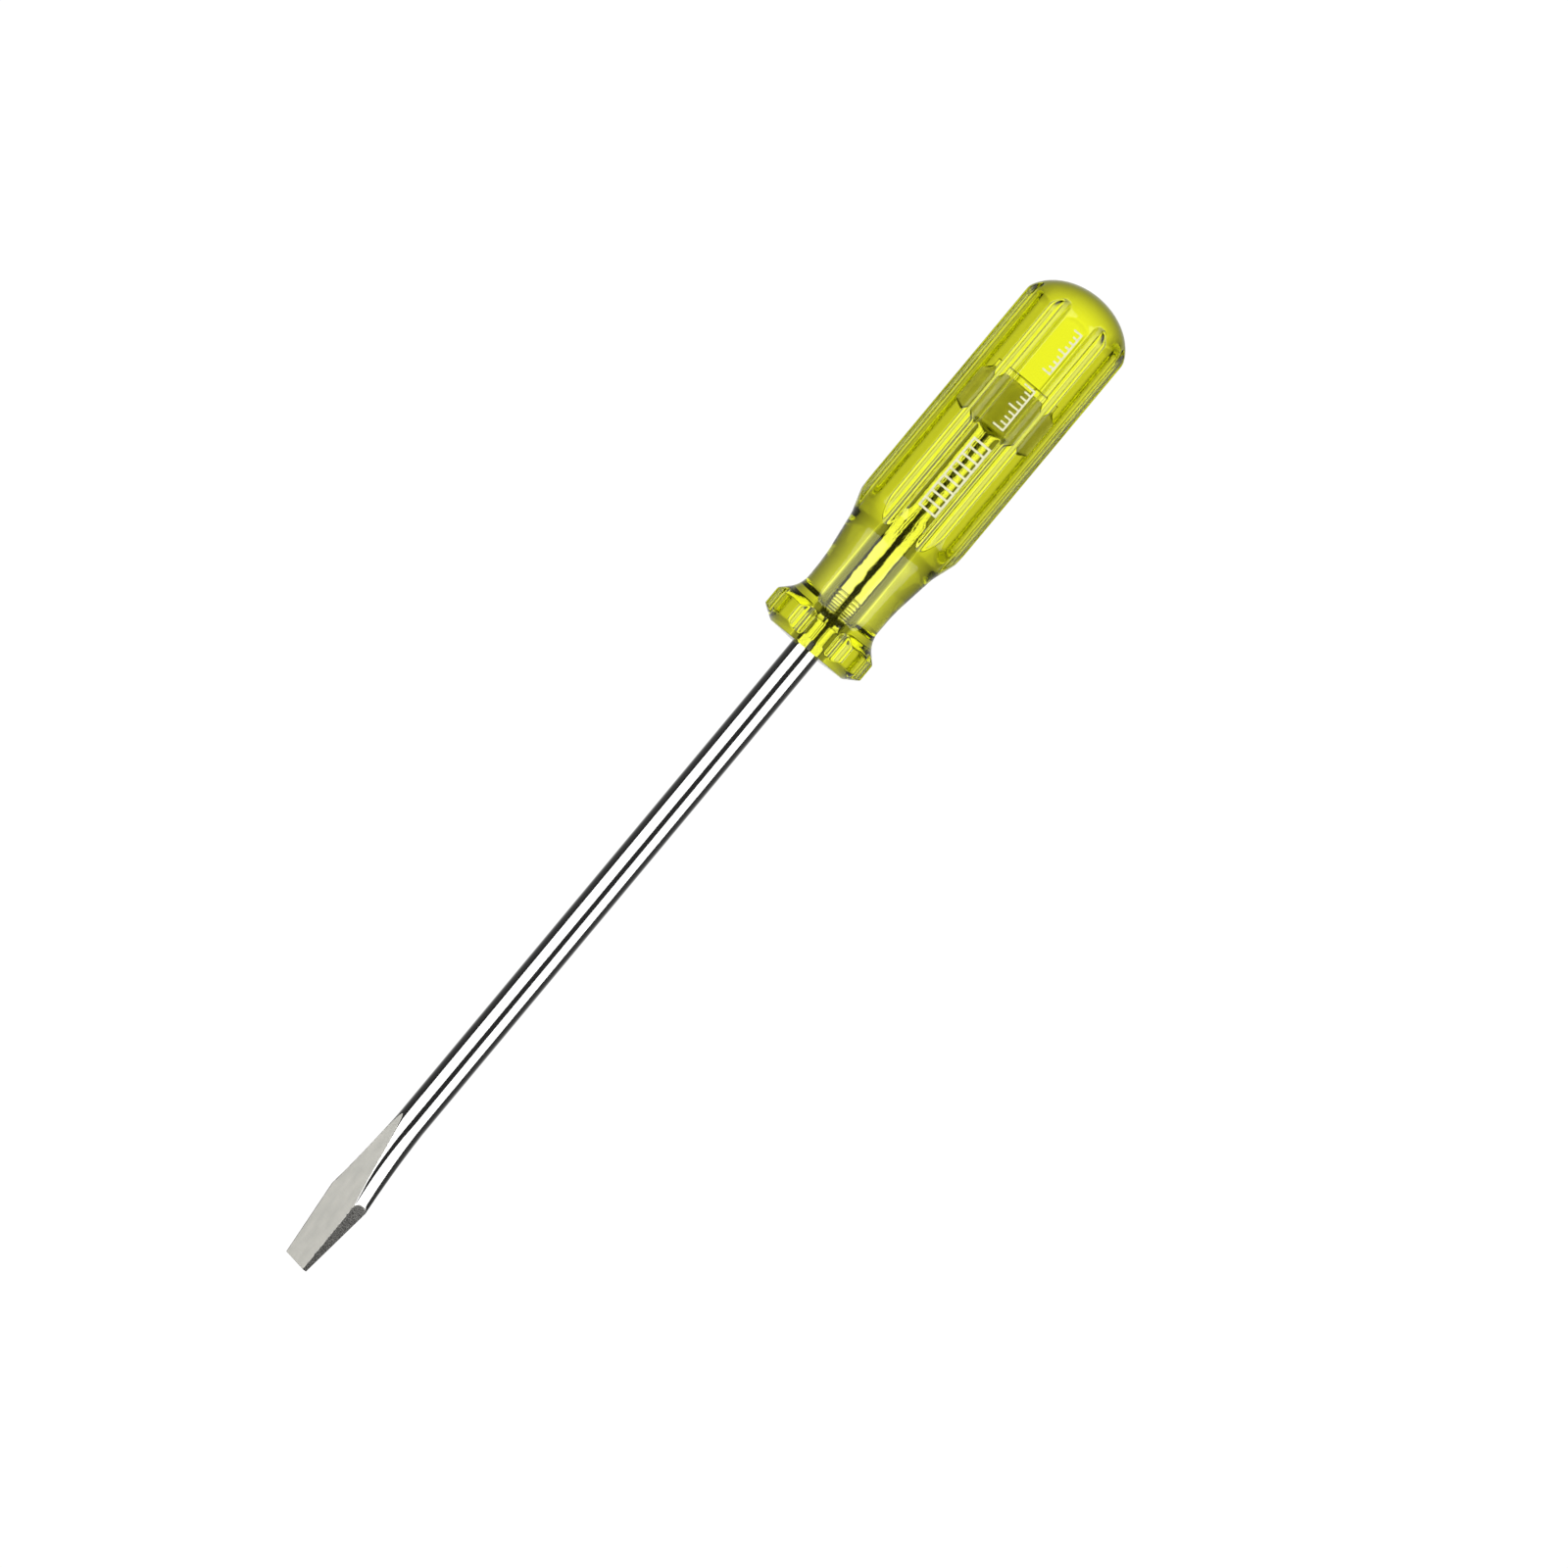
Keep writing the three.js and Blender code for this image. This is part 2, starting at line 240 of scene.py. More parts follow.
def rounded(corners):
    """A dense outline through the corners, each rounded by its own radius."""
    path = [np.array(corners[0][:2])]
    for before, here, after in zip(corners, corners[1:], corners[2:]):
        point = np.array(here[:2])
        back = np.array(before[:2]) - point
        ahead = np.array(after[:2]) - point
        back /= np.linalg.norm(back)
        ahead /= np.linalg.norm(ahead)
        half = 0.5 * math.acos(np.clip(back @ ahead, -1, 1))
        reach = here[2] / math.tan(half)
        middle = point + (back + ahead) / np.linalg.norm(back + ahead) * here[2] / math.sin(half)
        start = point + back * reach - middle
        end = point + ahead * reach - middle
        sweep = math.pi - 2 * half
        for share in np.linspace(0, 1, ROUNDING_STEPS):
            blend = math.sin((1 - share) * sweep) * start + math.sin(share * sweep) * end
            path.append(middle + blend / math.sin(sweep))
    path.append(np.array(corners[-1][:2]))
    return np.array(path)


def turned_outline():
    """(place, radius) rows from the bore's rim over the collar, neck and barrel to the butt."""
    rim = (0.0, (BAR_RADIUS + TANG_GAP) / MM, 0)
    barrel_end = ((HANDLE_LENGTH - DOME_LENGTH) / MM, TURNED_RADIUS / MM, 0)
    front = rounded([rim, *TURNED_CORNERS, barrel_end]) * MM
    turn = np.linspace(0, math.pi / 2, DOME_STEPS)[1:]
    dome_places = HANDLE_LENGTH - DOME_LENGTH + DOME_LENGTH * np.sin(turn)
    dome = np.stack([dome_places, TURNED_RADIUS * np.cos(turn)], axis=1)
    dome[-1, 1] = POLE_RADIUS
    return np.vstack([front, dome])


def turned_stations():
    """The outline's stations: close where the shape turns, far apart along the plain barrel."""
    outline = turned_outline()
    fine = []
    for a, b in zip(outline, outline[1:]):
        pieces = max(1, int(np.linalg.norm(b - a) / TURNED_STEP))
        fine.extend(a + (b - a) * i / pieces for i in range(pieces))
    fine.append(outline[-1])
    fine = np.array(fine)
    length = np.linalg.norm(np.diff(fine, axis=0), axis=1)
    plain = (fine[:-1, 0] > PLAIN_START) & (fine[:-1, 0] < HANDLE_LENGTH - DOME_LENGTH)
    weight = np.where(plain, length * PLAIN_WEIGHT, length)
    return even_steps(fine, weight, TURNED_STATIONS)


def handle_outer_rings(angles):
    """The section, cut back to the turned outline at each station."""
    full = section_radius(angles)
    rings = []
    for place, turned in turned_stations():
        radius = np.minimum(smooth_min(full, turned, RUNOUT_BLEND), turned)
        y, z = radius * np.cos(angles), radius * np.sin(angles)
        rings.append(np.stack([np.full_like(y, FACE_X + place), y, AXIS_Z + z], axis=1))
    return rings


def tang_ring(place, width, thickness, angles):
    """An ellipse across the tang. The ears lie level, as the label land does."""
    y, z = width * np.cos(angles), thickness * np.sin(angles)
    return np.stack([np.full_like(y, TIP_X + place), y, AXIS_Z + z], axis=1)


def turned_with_blade(place, across, through):
    """Points in the blade's own axes, turned about the bar to where the blade sits in the handle."""
    y = across * math.cos(BLADE_TURN) + through * math.sin(BLADE_TURN)
    z = -across * math.sin(BLADE_TURN) + through * math.cos(BLADE_TURN)
    return np.stack([np.full_like(y, TIP_X + place), y, AXIS_Z + z], axis=1)


def ease(share):
    """A smooth rise from 0 to 1, level at both ends."""
    share = np.clip(share, 0, 1)
    return share * share * (3 - 2 * share)


def tang_size(place):
    """Half width and half thickness of the tang at a place counted from the tip."""
    end = BLADE_LENGTH + TANG_LENGTH
    rise = ease((place - (end - EAR_LENGTH)) / EAR_SLOPE)
    fall = ease((place - (end - EAR_SLOPE)) / EAR_SLOPE)
    width = BAR_RADIUS + (EAR_SPAN / 2 - BAR_RADIUS) * rise - (EAR_SPAN - EAR_END_SPAN) / 2 * fall
    thickness = BAR_RADIUS + (EAR_THICKNESS / 2 - BAR_RADIUS) * rise
    return width, thickness


def bore_rings(angles):
    """The bore's wall from its rim, a little larger than the tang, to its blind end past the tang."""
    end = BLADE_LENGTH + TANG_LENGTH
    plain_end = TANG_LENGTH - EAR_LENGTH - 2 * BORE_LEAD
    places = np.concatenate(
        [
            BLADE_LENGTH + np.linspace(BORE_RIM, plain_end, BORE_PLAIN_RINGS),
            np.linspace(end - EAR_LENGTH - BORE_LEAD, end, BORE_EAR_RINGS),
            end + np.linspace(0, BORE_SPARE, BORE_END_RINGS)[1:],
        ]
    )
    rings = []
    for place in places:
        width, thickness = tang_size(place)
        rings.append(tang_ring(place, width + TANG_GAP, thickness + TANG_GAP, angles))
    return rings


def handle_mesh(material):
    angles = section_angles()
    rings = bore_rings(angles)[::-1] + handle_outer_rings(angles)
    return mesh_object("clear_handle", *ring_body(rings), material)


# ---- Blade ----

BLADE_POINTS = 192
GROUND_END = WEDGE_LENGTH + MM  # just past the flats. From here on the sections are plain ellipses
TIP_STATIONS = 200
BAR_STATIONS = 70
BAND_STATIONS = 90
SHANK_STATIONS = 30
EAR_STATIONS = 36
GROUND_BLEND = 0.03 * MM  # how softly the ground faces meet
END_EDGE = 0.06 * MM
END_ROUNDING = [(0, END_EDGE), (0.5 * END_EDGE, 0.3 * END_EDGE)]  # place and inset of the first sections
TANG_EDGE = 0.5 * MM  # chamfer at the tang's end
RING_SHARPNESS = 4  # a higher power makes the grooves narrower
FAR = 1.0  # a cap on how far out a ray meets a ground face's plane


def flare_size(place):
    """Half width, half thickness and squareness of the forged body, before it is ground."""
    share = np.clip((FLARE_LENGTH - place) / (FLARE_LENGTH - KEYSTONE_LENGTH), 0, FLARE_LIMIT)
    swell = FLARE_WIDTH / 2 + FLARE_SWELL - BAR_RADIUS
    return BAR_RADIUS + swell * share**2, BAR_RADIUS, 2 + share


def ground_ring(place, angles, inset):
    """The tip's section, and each point's mark: 1 on a flat, 0.5 on a ground edge, 0 on plate.

    The ground faces are set in by inset.
    """
    width, thickness, power = flare_size(place)
    flat = TIP_THICKNESS / 2 + (BAR_RADIUS - TIP_THICKNESS / 2) / WEDGE_LENGTH * place - inset
    edge = TIP_WIDTH / 2 + (FLARE_WIDTH - TIP_WIDTH) / 2 / KEYSTONE_LENGTH * place - inset
    across = min(width, edge) * np.cos(angles)
    through = min(thickness, flat) * np.sin(angles)
    reach = np.hypot(across, through)
    body = reach / (np.abs(across / width) ** power + np.abs(through / thickness) ** power) ** (1 / power)
    flats = reach * flat / np.maximum(np.abs(through), flat / FAR * reach)
    edges = reach * edge / np.maximum(np.abs(across), edge / FAR * reach)
    cut = smooth_min(flats, edges, GROUND_BLEND)
    length = smooth_min(body, cut, GROUND_BLEND)
    ring = turned_with_blade(place, across / reach * length, through / reach * length)
    return ring, np.where(cut < body, np.where(flats < edges, 1.0, 0.5), 0.0)


def groove(place):
    """Depth of the rolled rings at a place."""
    along = (place - BLADE_LENGTH - RING_START) / RING_PITCH + 0.5
    inside = (along > 0) & (along < RING_COUNT)
    wave = 0.5 - 0.5 * math.cos(2 * math.pi * along)
    return np.where(inside, RING_DEPTH * wave**RING_SHARPNESS, 0)


def blade_places():
    """The stations behind the ground tip, close together in the ring band and the ears."""
    band = BLADE_LENGTH + RING_START - RING_PITCH
    band_end = band + (RING_COUNT + 1) * RING_PITCH
    ears = BLADE_LENGTH + TANG_LENGTH - EAR_LENGTH
    return np.concatenate(
        [
            np.linspace(GROUND_END, band, BAR_STATIONS),
            np.linspace(band, band_end, BAND_STATIONS)[1:],
            np.linspace(band_end, ears, SHANK_STATIONS)[1:],
            np.linspace(ears, ears + EAR_LENGTH - TANG_EDGE, EAR_STATIONS)[1:],
        ]
    )


def blade_mesh(material):
    angles = np.arange(BLADE_POINTS) * 2 * math.pi / BLADE_POINTS
    rings, marks = [], []
    plain_tip = [(place, 0) for place in np.linspace(END_EDGE, GROUND_END, TIP_STATIONS)[:-1]]
    for place, inset in END_ROUNDING + plain_tip:
        ring, mark = ground_ring(place, angles, inset)
        rings.append(ring)
        marks.append(mark)
    for place in blade_places():
        width, thickness = tang_size(place)
        depth = groove(place)
        rings.append(tang_ring(place, width - depth, thickness - depth, angles - BLADE_TURN))
        marks.append(np.zeros(BLADE_POINTS))
    end = BLADE_LENGTH + TANG_LENGTH
    width, thickness = tang_size(end)
    rings.append(tang_ring(end, width - TANG_EDGE, thickness - TANG_EDGE, angles - BLADE_TURN))
    marks.append(np.zeros(BLADE_POINTS))
    made = mesh_object("steel_blade", *ring_body(rings), material)
    marks.append([1, 0])  # the middles of the tip's end, which is ground, and of the tang's end
    ground = made.data.attributes.new("ground", "FLOAT", "POINT")
    ground.data.foreach_set("value", np.concatenate(marks).astype(np.float32))
    return made


# ---- Foil marks: plain bars pressed into the upper land ----

FOIL_TOP = handle_high[2]
FOIL_THICKNESS = 0.05 * MM
FOIL_CORNER = 0.16 * MM
FOIL_CORNER_STEPS = 5
FOIL_WELD = 0.001 * MM
BADGE_PITCH = 2.38 * MM
BADGE_LINE = 0.6 * MM
SCALE_PITCH = 1.55 * MM
SCALE_LINE = 0.5 * MM
SCALE_LONG_EVERY = 4
SCALE_SHORT_SHARE = 0.65


def box_loop(x0, x1, y0, y1):
    return [(x0, y0), (x1, y0), (x1, y1), (x0, y1)]


def badge_loops(low, high):
    """A frame crossed by upright bars, as its outline and the windows between the bars."""
    loops = [box_loop(low[0], high[0], low[1], high[1])]
    for i in range(round((high[0] - low[0] - BADGE_LINE) / BADGE_PITCH)):
        x = low[0] + i * BADGE_PITCH
        loops.append(box_loop(x + BADGE_LINE, x + BADGE_PITCH, low[1] + BADGE_LINE, high[1] - BADGE_LINE))
    return loops


def scale_loops(low, high):
    """A base line with upright strokes, some of them long."""
    strokes = round((high[0] - low[0] - SCALE_LINE) / SCALE_PITCH) + 1
    base = low[1] + SCALE_LINE
    outline = [(low[0], low[1]), (high[0], low[1])]
    for i in reversed(range(strokes)):
        x = low[0] + i * SCALE_PITCH
        share = 1 if i % SCALE_LONG_EVERY == 0 else SCALE_SHORT_SHARE
        top = low[1] + (high[1] - low[1]) * share
        outline += [(x + SCALE_LINE, top), (x, top)]
        if i:
            outline += [(x, base), (x - SCALE_PITCH + SCALE_LINE, base)]
    return [outline]


def rounded_loop(corners, radius):
    """A closed loop with every corner rounded, in millimetres."""
    points = []
    for i, here in enumerate(corners):
        point = np.array(here)
        back = np.array(corners[i - 1]) - point
        ahead = np.array(corners[(i + 1) % len(corners)]) - point
        back /= np.linalg.norm(back)
        ahead /= np.linalg.norm(ahead)
        for turn in np.linspace(0, math.pi / 2, FOIL_CORNER_STEPS):
            points.append(point + radius * ((1 - math.sin(turn)) * back + (1 - math.cos(turn)) * ahead))
    return np.array(points) / MM


def foil_piece(name, loops, material):
    """The loops as a thin plate, its top level with the frame's upper land."""
    curve = bpy.data.curves.new(name, "CURVE")
    curve.dimensions = "2D"
    curve.fill_mode = "BOTH"
    curve.extrude = FOIL_THICKNESS / 2 / MM
    for loop in loops:
        points = rounded_loop(loop, FOIL_CORNER)
        flat = np.hstack([points, np.tile([0, 1], (len(points), 1))])
        spline = curve.splines.new("POLY")
        spline.points.add(len(points) - 1)
        spline.points.foreach_set("co", flat.ravel())
        spline.use_cyclic_u = True
    shape = new_object(name, curve)
    depsgraph = bpy.context.evaluated_depsgraph_get()
    mesh = bpy.data.meshes.new_from_object(shape.evaluated_get(depsgraph))
    bpy.data.objects.remove(shape)
    bpy.data.curves.remove(curve)
    mesh.transform(Matrix.Translation((0, 0, FOIL_TOP - FOIL_THICKNESS / 2)) @ Matrix.Scale(MM, 4))
    turn_faces_outward(mesh, FOIL_WELD)
    mesh.materials.clear()
    mesh.materials.append(material)
    return new_object(name, mesh)


# ---- Materials. Noise scales and stretches are for places in millimetres ----

ACETATE_SURFACE = (0.99, 0.99, 0.93, 1)
ACETATE_DEPTH = (0.900, 0.909, 0.12, 1)
ACETATE_DENSITY = 150.0
ACETATE_IOR = 1.48

# The steel's finishes, each from its darker to its paler colour, and what tarnish and pits turn them to.
PLATE = (0.66, 0.66, 0.655, 1), (0.74, 0.74, 0.73, 1)
BARE = (0.50, 0.49, 0.46, 1), (0.66, 0.65, 0.62, 1)
# The pale, almost white colour next is painted light: it stands in for the light the ground flats catch,
# and the forged ears get it too.
PAINTED_LIGHT_SATIN = (0.84, 0.825, 0.74, 1), (1.0, 0.985, 0.92, 1)
TARNISH = (0.72, 0.72, 0.66, 1)
PITTED = (0.34, 0.33, 0.29, 1)
# Low metallic, so the painted pale colour shows as lit, diffuse steel.
PAINTED_LIGHT_METALLIC = 0.15
EAR_ROUGHNESS = 0.75
TANG_WAVES = 0.16 * MM

FOIL = (0.84, 0.83, 0.58, 1)
WORN_FOIL = (0.62, 0.66, 0.24, 1)


class Nodes:
    """A short way to write a node tree: socket values are constants or other nodes' outputs."""

    def __init__(self, name):
        self.material = bpy.data.materials.new(name)
        self.material.use_nodes = True
        self.tree = self.material.node_tree
        self.tree.nodes.clear()
        self.output = self.tree.nodes.new("ShaderNodeOutputMaterial")

    def add(self, kind, inputs=(), **settings):
        node = self.tree.nodes.new("ShaderNode" + kind)
        for key, value in settings.items():
            setattr(node, key, value)
        for key, value in dict(inputs).items():
            if isinstance(value, bpy.types.NodeSocket):
                self.tree.links.new(value, node.inputs[key])
            else:
                node.inputs[key].default_value = value
        return node

    def math(self, operation, a, b=0.0):
        return self.add("Math", {0: a, 1: b}, operation=operation).outputs[0]

    def mix(self, factor, a, b):
        node = self.add("Mix", {0: factor, 6: a, 7: b}, data_type="RGBA")
        return node.outputs[2]

    def blend(self, factor, a, b):
        node = self.add("Mix", {0: factor, 2: a, 3: b}, data_type="FLOAT")
        return node.outputs[0]

    def band(self, value, low, high, to_low=0.0, to_high=1.0):
        sockets = {"Value": value, "From Min": low, "From Max": high, "To Min": to_low, "To Max": to_high}
        return self.add("MapRange", sockets, clamp=True).outputs[0]

    def falloff(self, value, fade, peak):
        """peak, dying away exponentially as value grows."""
        share = self.math("EXPONENT", self.math("MULTIPLY", value, -fade))
        return self.math("MULTIPLY", share, peak)

    def place(self, scale=(1, 1, 1)):
        """Object coordinates in millimetres, stretched by scale."""
        coordinates = self.add("TexCoord").outputs["Object"]
        stretch = tuple(part / MM for part in scale)
        return self.add("Mapping", {"Vector": coordinates, "Scale": stretch}).outputs[0]

    def noise(self, vector, scale, detail, roughness=0.5):
        sockets = {"Vector": vector, "Scale": scale, "Detail": detail, "Roughness": roughness}
        return self.add("TexNoise", sockets).outputs[0]

    def bump(self, height, distance, strength, over=None):
        """A bumped normal, on top of the one in over."""
        sockets = {"Height": height, "Distance": distance, "Strength": strength}
        if over:
            sockets["Normal"] = over
        return self.add("Bump", sockets).outputs[0]

    def finish(self, shader, volume=None):
        self.tree.links.new(shader.outputs[0], self.output.inputs["Surface"])
        if volume:
            self.tree.links.new(volume.outputs[0], self.output.inputs["Volume"])
        return self.material


def acetate_material():
    """Clear yellow-green cellulose acetate: coloured by depth, its polish broken by draw lines and wear."""
    nodes = Nodes("clear_acetate")
    streaks = nodes.noise(nodes.place((0.05, 1, 1)), 2.2, 4)
    patches = nodes.noise(nodes.place(), 0.12, 3)
    scratches = nodes.noise(nodes.place((0.6, 1, 1)), 6.0, 6, 0.7)
    wear = nodes.band(scratches, 0.56, 0.72)
    polish = nodes.band(patches, 0.35, 0.7, 0.015, 0.05)
    roughness = nodes.math("ADD", polish, nodes.math("MULTIPLY", wear, 0.06))
    height = nodes.math("ADD", streaks, nodes.math("MULTIPLY", patches, 4.0))
    shader = nodes.add(
        "BsdfPrincipled",
        {
            "Base Color": ACETATE_SURFACE,
            "Roughness": roughness,
            "IOR": ACETATE_IOR,
            "Transmission Weight": 1.0,
            "Normal": nodes.bump(height, 0.006 * MM, 0.6),
        },
    )
    volume = nodes.add("VolumeAbsorption", {"Color": ACETATE_DEPTH, "Density": ACETATE_DENSITY})
    return nodes.finish(shader, volume)


def steel_material():
    """Bright plate, darker on the ground edges; the rough ground flats and the dull forged ears get a pale,
    near-white colour, which is painted light.
    """
    nodes = Nodes("plated_steel")
    mark = nodes.add("Attribute", attribute_name="ground").outputs["Fac"]
    ground = nodes.band(mark, 0.2, 0.4)
    flat = nodes.band(mark, 0.6, 0.9)
    along = nodes.add("SeparateXYZ", {0: nodes.place()}).outputs[0]
    rings_end = (FACE_X + RING_START + RING_COUNT * RING_PITCH) / MM
    ears_start = (FACE_X + TANG_LENGTH - EAR_LENGTH) / MM
    tang = nodes.band(along, rings_end - 1, rings_end + 2)
    ears = nodes.band(along, ears_start, ears_start + EAR_SLOPE / MM)
    # The flats and the ears: where the pale colour, painted light, and the low metallic go.
    painted_light_zone = nodes.math("MAXIMUM", flat, ears)

    mottle = nodes.noise(nodes.place(), 0.5, 4)
    fine = nodes.noise(nodes.place((0.25, 1, 1)), 9.0, 5, 0.65)
    passes = nodes.noise(nodes.place((3.2, 0.18, 0.18)), 1.6, 5, 0.7)
    pits = nodes.band(nodes.noise(nodes.place(), 2.4, 2), 0.68, 0.74)
    tarnish = nodes.band(nodes.noise(nodes.place((0.6, 1, 1)), 0.3, 4), 0.38, 0.66, 0.0, 0.45)
    waves = nodes.math("MULTIPLY", nodes.noise(nodes.place((0.8, 1, 1)), 0.5, 3), tang)

    bare = nodes.mix(pits, nodes.mix(passes, *BARE), PITTED)
    # The pale colour here is painted light, with random tarnish patches on it.
    painted_light_colour = nodes.mix(tarnish, nodes.mix(passes, *PAINTED_LIGHT_SATIN), TARNISH)
    colour = nodes.mix(painted_light_zone, nodes.mix(ground, nodes.mix(mottle, *PLATE), bare), painted_light_colour)

    plate_rough = nodes.band(fine, 0.4, 0.75, 0.05, 0.16)
    edge_rough = nodes.band(passes, 0.3, 0.7, 0.2, 0.3)
    flat_rough = nodes.band(passes, 0.3, 0.7, 0.66, 0.8)
    rough = nodes.blend(ground, plate_rough, nodes.blend(flat, edge_rough, flat_rough))

    height = nodes.blend(ground, nodes.math("MULTIPLY", fine, 0.12), passes)
    grain = nodes.bump(height, 0.01 * MM, 0.5)
    shader = nodes.add(
        "BsdfPrincipled",
        {
            "Base Color": colour,
            "Metallic": nodes.blend(painted_light_zone, 1.0, PAINTED_LIGHT_METALLIC),
            "Roughness": nodes.math("MAXIMUM", rough, nodes.math("MULTIPLY", ears, EAR_ROUGHNESS)),
            "Normal": nodes.bump(waves, TANG_WAVES, 1.0, grain),
        },
    )
    return nodes.finish(shader)


def foil_material():
    """Cream hot-stamping foil, a little thin and worn in places."""
    nodes = Nodes("stamping_foil")
    worn = nodes.noise(nodes.place(), 1.3, 5, 0.65)
    grain = nodes.noise(nodes.place(), 8.0, 3)
    shader = nodes.add(
        "BsdfPrincipled",
        {
            "Base Color": nodes.mix(nodes.band(worn, 0.5, 0.72), FOIL, WORN_FOIL),
            "Roughness": nodes.band(grain, 0.3, 0.7, 0.35, 0.5),
            "Normal": nodes.bump(grain, 0.004 * MM, 0.5),
        },
    )
    return nodes.finish(shader)


# ---- Stage, light and camera ----

FLOOR_SIZE = 6.0
AXIS_ANGLE = math.radians(50.21)  # how far the blade's axis leans from the picture's width
VIEW_ROLL = math.radians(1.6)  # the label land is turned this much from the camera
VIEW_WIDTH = 0.3946  # what the picture spans at the tool
VIEW_SHIFT = (0.0218, -0.0011)  # the picture's middle, across and up from the tool's
SOFTBOX_LENGTH = 2.0
SOFTBOX_END = -0.24  # where both softboxes begin, beyond the tip
SOFTBOX_DISTANCE = 1.0
SOFTBOX_GLOW = 2.0
TIP_SOFTBOX_SIZE = (1.2, 0.9)
TIP_SOFTBOX_DISTANCE = 1.4
TIP_SOFTBOX_SLANT = 58  # degrees from straight up
TIP_SOFTBOX_GLOW = 1.2
LEFT_SOFTBOX = (9, 72)  # degrees from straight up
RIGHT_SOFTBOX = (-26, -82)
FLOOR_GLOW = 1.0
FLOOR_GREY = (0.05, 0.05, 0.05, 1)
THROUGH_GLOW = 1.22  # the floor through the handle, seen from straight above, on top of THROUGH_DIM
THROUGH_DIM = 0.28  # and at a slant
THROUGH_FADE = 7.7
MIRROR_GLOW = 0.9  # the floor in reflections
MIRROR_FADE = 6.5
ROOM_DARK = 0.03
ROOM_PALE = 0.95
WHITE = (1, 1, 1, 1)
LENS = 150.0  # lens and sensor in millimetres
SENSOR = 36.0
CLIP = (0.01, 20.0)
BOUNCES = 24


def floor():
    """A light table: white to the camera, and dimmer at a slant in reflections and through the handle."""
    nodes = Nodes("pale_floor")
    rays = nodes.add("LightPath").outputs
    slant = nodes.add("LayerWeight", {"Blend": 0.5}).outputs["Facing"]
    through = nodes.math("ADD", nodes.falloff(slant, THROUGH_FADE, THROUGH_GLOW), THROUGH_DIM)
    mirrored = nodes.falloff(slant, MIRROR_FADE, MIRROR_GLOW)
    seen = nodes.blend(rays["Is Transmission Ray"], mirrored, through)
    glow = nodes.blend(rays["Is Camera Ray"], seen, FLOOR_GLOW)
    diffuse = nodes.add("BsdfDiffuse", {"Color": FLOOR_GREY})
    emission = nodes.add("Emission", {"Color": WHITE, "Strength": glow})
    both = nodes.add("AddShader", {0: diffuse.outputs[0], 1: emission.outputs[0]})
    half = FLOOR_SIZE / 2
    corners = [(-half, -half, 0), (half, -half, 0), (half, half, 0), (-half, half, 0)]
    mesh = bpy.data.meshes.new("floor")
    mesh.from_pydata(corners, [], [(0, 1, 2, 3)])
    mesh.materials.append(nodes.finish(both))
    new_object("floor", mesh)


def softbox(name, size, glow, target, back):
    """A softbox that faces the target, with back leading to it from there. The camera doesn't see it."""
    data = bpy.data.lights.new(name, "AREA")
    data.shape = "RECTANGLE"
    data.size, data.size_y = size
    data.energy = glow * data.size * data.size_y * math.pi
    made = new_object(name, data)
    made.location = Vector(target) + Vector(back)
    made.rotation_euler = Vector(back).to_track_quat("Z", "Y").to_euler()
    made.visible_camera = False


def side_softbox(name, low, high):
    """A long softbox beside the tool, between two angles, that begins a little beyond the tip."""
    middle, half = math.radians((low + high) / 2), math.radians(abs(high - low) / 2)
    width = 2 * SOFTBOX_DISTANCE * math.tan(half)
    back = (0, SOFTBOX_DISTANCE * math.sin(middle), SOFTBOX_DISTANCE * math.cos(middle))
    target = (SOFTBOX_END + SOFTBOX_LENGTH / 2, 0, AXIS_Z)
    softbox(name, (SOFTBOX_LENGTH, width), SOFTBOX_GLOW, target, back)


def tip_softbox():
    """A smaller softbox far off beyond the tip, for the ends of the tool."""
    slant = math.radians(TIP_SOFTBOX_SLANT)
    back = (-TIP_SOFTBOX_DISTANCE * math.sin(slant), 0, TIP_SOFTBOX_DISTANCE * math.cos(slant))
    softbox("softbox_tip", TIP_SOFTBOX_SIZE, TIP_SOFTBOX_GLOW, (0, 0, AXIS_Z), back)


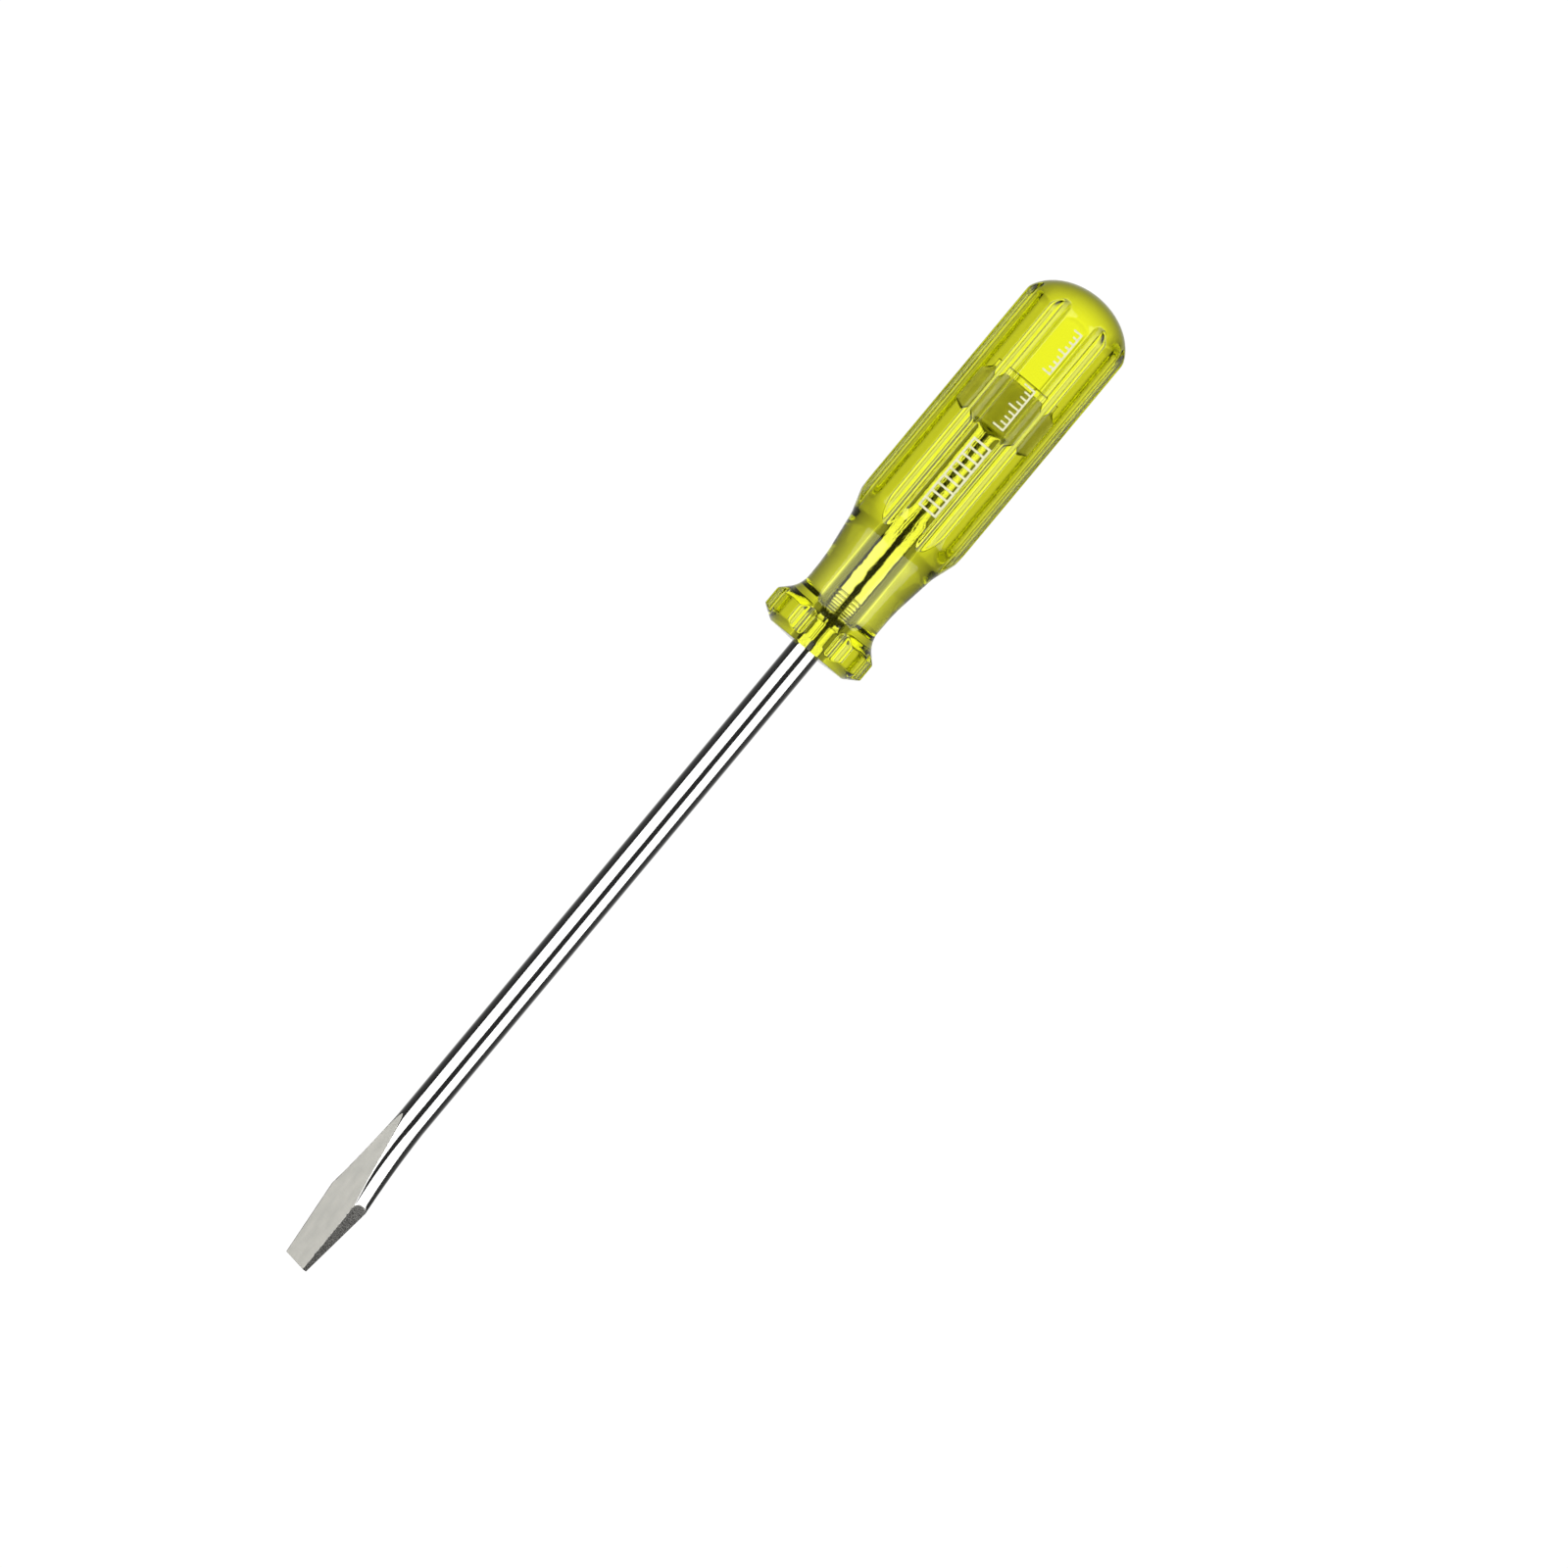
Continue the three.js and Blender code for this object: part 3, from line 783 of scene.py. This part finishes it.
def lights():
    """Three softboxes, in a room that is pale to the camera and dark in reflections."""
    side_softbox("softbox_left", *LEFT_SOFTBOX)
    side_softbox("softbox_right", *RIGHT_SOFTBOX)
    tip_softbox()
    world = bpy.data.worlds.new("studio")
    world.use_nodes = True
    tree = world.node_tree
    ray = tree.nodes.new("ShaderNodeLightPath")
    level = tree.nodes.new("ShaderNodeMapRange")
    level.inputs["To Min"].default_value = ROOM_DARK
    level.inputs["To Max"].default_value = ROOM_PALE
    tree.links.new(ray.outputs["Is Camera Ray"], level.inputs["Value"])
    tree.links.new(level.outputs[0], tree.nodes["Background"].inputs["Strength"])
    tree.nodes["Background"].inputs["Color"].default_value = WHITE
    bpy.context.scene.world = world


def camera():
    """A long lens almost straight above the tool."""
    right = Vector((math.cos(AXIS_ANGLE), -math.sin(AXIS_ANGLE), 0))
    up = Vector((math.sin(AXIS_ANGLE), math.cos(AXIS_ANGLE), 0))
    turned = Matrix.Rotation(-VIEW_ROLL, 3, "X")
    right, up = turned @ right, turned @ up
    back = right.cross(up)
    middle = Vector(((TIP_X + handle_high[0]) / 2, 0, AXIS_Z))
    target = middle + right * VIEW_SHIFT[0] + up * VIEW_SHIFT[1]
    data = bpy.data.cameras.new("camera")
    data.lens, data.sensor_width = LENS, SENSOR
    data.clip_start, data.clip_end = CLIP
    place = Matrix((right, up, back)).transposed().to_4x4()
    place.translation = target + back * (VIEW_WIDTH * LENS / SENSOR)
    made = new_object("camera", data)
    made.matrix_world = place
    bpy.context.scene.camera = made


def dress(piece, node):
    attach(piece, ROOT)
    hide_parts(node)


camera()
floor()
lights()
bpy.context.scene.view_settings.view_transform = "Standard"
bpy.context.scene.cycles.max_bounces = BOUNCES
bpy.context.scene.cycles.transmission_bounces = BOUNCES

dress(blade_mesh(steel_material()), "blade")
dress(handle_mesh(acetate_material()), "handle")
foil = foil_material()
badge = badge_loops(*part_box("foil_badge"))
dress(foil_piece("badge_foil", badge, foil), "foil_badge")
for name, node in (("size_scale_foil", "foil_size_scale"), ("grade_scale_foil", "foil_grade_scale")):
    strokes = scale_loops(*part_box(node))
    dress(foil_piece(name, strokes, foil), node)
